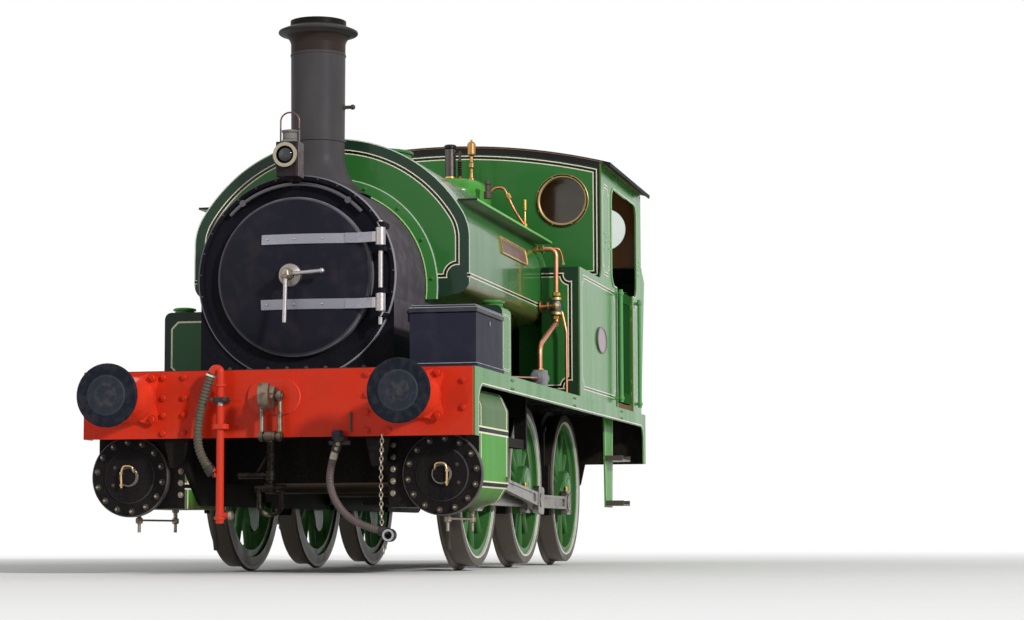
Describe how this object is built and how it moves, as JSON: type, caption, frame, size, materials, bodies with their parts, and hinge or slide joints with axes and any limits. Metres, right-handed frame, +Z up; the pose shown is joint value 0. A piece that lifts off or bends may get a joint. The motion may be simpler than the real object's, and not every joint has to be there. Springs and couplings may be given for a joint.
{
  "type": "steam locomotive",
  "caption": "Six-coupled saddle tank steam locomotive with outside cylinders, spoked wheels with rods, open-sided cab, tall flared chimney and standard gauge buffers.",
  "frame": {"origin": "floor under the wheel flanges, midway between the buffer faces and the wheels", "axes": "+Z up, the front with the smokebox door faces -Y, +X is the locomotive's left-hand side"},
  "size_m": [2.514, 6.988, 3.421],
  "materials": {
    "green_paint": "gloss paint",
    "black_paint": "satin paint",
    "red_paint": "gloss paint",
    "wheel_paint": "gloss paint",
    "bright_steel": "oiled steel",
    "cast_iron": "dull iron",
    "brass": "polished brass",
    "rubber": "matt rubber",
    "glass": "clear"
  },
  "bodies": {
    "locomotive": {"axleboxes": "black_paint", "backhead_fittings": "brass", "boiler": "black_paint", "brake_gear": "black_paint", "brake_hose": "rubber", "brake_standpipe": "red_paint", "buffer_beams": "red_paint", "buffer_housings": "red_paint", "buffer_plungers": "bright_steel", "cab_floor": "black_paint", "cab_front_sheet": "green_paint", "cab_handrails": "bright_steel", "cab_rear_sheet": "green_paint", "cab_roof": "black_paint", "cab_side_left": "green_paint", "cab_side_right": "green_paint", "cab_steps": "green_paint", "chimney": "black_paint", "cylinders": "green_paint", "dome_casing": "green_paint", "drawgear": "cast_iron", "filler_neck": "black_paint", "firebox": "black_paint", "heating_cock": "cast_iron", "heating_coupling": "cast_iron", "heating_hose": "rubber", "injector": "brass", "lamp": "black_paint", "leaf_springs": "black_paint", "lubricator": "black_paint", "main_frames": "black_paint", "rear_bunker": "green_paint", "running_plates": "green_paint", "saddle_tank": "green_paint", "safety_valves": "black_paint", "sandboxes": "green_paint", "side_bunkers": "green_paint", "slide_bars": "bright_steel", "smokebox": "black_paint", "tank_boards": "black_paint", "toolbox": "black_paint", "whistle": "brass", "window_glass": "glass", "window_rings": "brass"},
    "smokebox_door": {"smokebox_door": "black_paint"},
    "filler_lid": {"filler_lid": "black_paint"},
    "toolbox_lid": {"toolbox_lid": "black_paint"},
    "cab_door_left": {"cab_door_left": "green_paint"},
    "cab_door_right": {"cab_door_right": "green_paint"},
    "leading_wheelset": {"leading_wheelset": "wheel_paint"},
    "driving_wheelset": {"driving_wheelset": "wheel_paint"},
    "trailing_wheelset": {"trailing_wheelset": "wheel_paint"},
    "coupling_rod_left": {"coupling_rod_left": "bright_steel"},
    "coupling_rod_right": {"coupling_rod_right": "bright_steel"},
    "connecting_rod_left": {"connecting_rod_left": "bright_steel"},
    "connecting_rod_right": {"connecting_rod_right": "bright_steel"},
    "crosshead_left": {"crosshead_left": "bright_steel"},
    "crosshead_right": {"crosshead_right": "bright_steel"}
  },
  "joints": [
    {"name": "driving_spin", "type": "hinge", "parent": "locomotive", "child": "driving_wheelset", "pos_m": [0, 0.07, 0.578], "axis": [1, 0, 0], "continuous": true},
    {"name": "leading_spin", "type": "hinge", "parent": "locomotive", "child": "leading_wheelset", "pos_m": [0, -1.38, 0.578], "axis": [1, 0, 0], "continuous": true},
    {"name": "trailing_spin", "type": "hinge", "parent": "locomotive", "child": "trailing_wheelset", "pos_m": [0, 1.52, 0.578], "axis": [1, 0, 0], "continuous": true},
    {"name": "coupling_rod_left_swing", "type": "hinge", "parent": "driving_wheelset", "child": "coupling_rod_left", "pos_m": [0.866, -0.15632, 0.46269], "axis": [1, 0, 0], "continuous": true},
    {"name": "coupling_rod_right_swing", "type": "hinge", "parent": "driving_wheelset", "child": "coupling_rod_right", "pos_m": [-0.866, 0.18531, 0.35168], "axis": [1, 0, 0], "continuous": true},
    {"name": "crosshead_left_slide", "type": "slide", "parent": "locomotive", "child": "crosshead_left", "axis": [0, 1, 0], "range_m": [-0.0324, 0.4756]},
    {"name": "connecting_rod_left_swing", "type": "hinge", "parent": "crosshead_left", "child": "connecting_rod_left", "pos_m": [0.96, -1.55156, 0.578], "axis": [1, 0, 0], "range_deg": [-5.73, 15.18]},
    {"name": "crosshead_right_slide", "type": "slide", "parent": "locomotive", "child": "crosshead_right", "axis": [0, 1, 0], "range_m": [-0.3877, 0.1203]},
    {"name": "connecting_rod_right_swing", "type": "hinge", "parent": "crosshead_right", "child": "connecting_rod_right", "pos_m": [-0.96, -1.19627, 0.578], "axis": [1, 0, 0], "range_deg": [-1.15, 19.76]},
    {"name": "smokebox_door_swing", "type": "hinge", "parent": "locomotive", "child": "smokebox_door", "pos_m": [0.552, -2.73, 1.773], "axis": [0, 0, 1], "range_deg": [0, 115]},
    {"name": "filler_lid_lift", "type": "hinge", "parent": "locomotive", "child": "filler_lid", "pos_m": [0, -0.5, 2.81], "axis": [-1, 0, 0], "range_deg": [0, 110]},
    {"name": "toolbox_lid_lift", "type": "hinge", "parent": "locomotive", "child": "toolbox_lid", "pos_m": [0.764, -2.565, 1.522], "axis": [0, -1, 0], "range_deg": [0, 100]},
    {"name": "cab_door_left_swing", "type": "hinge", "parent": "locomotive", "child": "cab_door_left", "pos_m": [1.162, 2.434, 1.628], "axis": [0, 0, -1], "range_deg": [0, 90]},
    {"name": "cab_door_right_swing", "type": "hinge", "parent": "locomotive", "child": "cab_door_right", "pos_m": [-1.162, 2.434, 1.628], "axis": [0, 0, 1], "range_deg": [0, 90]}
  ],
  "couplings": [
    {"joint": "leading_spin", "follows": "driving_spin", "ratio": 1},
    {"joint": "trailing_spin", "follows": "driving_spin", "ratio": 1},
    {"joint": "coupling_rod_left_swing", "follows": "driving_spin", "ratio": -1},
    {"joint": "coupling_rod_right_swing", "follows": "driving_spin", "ratio": -1}
  ]
}
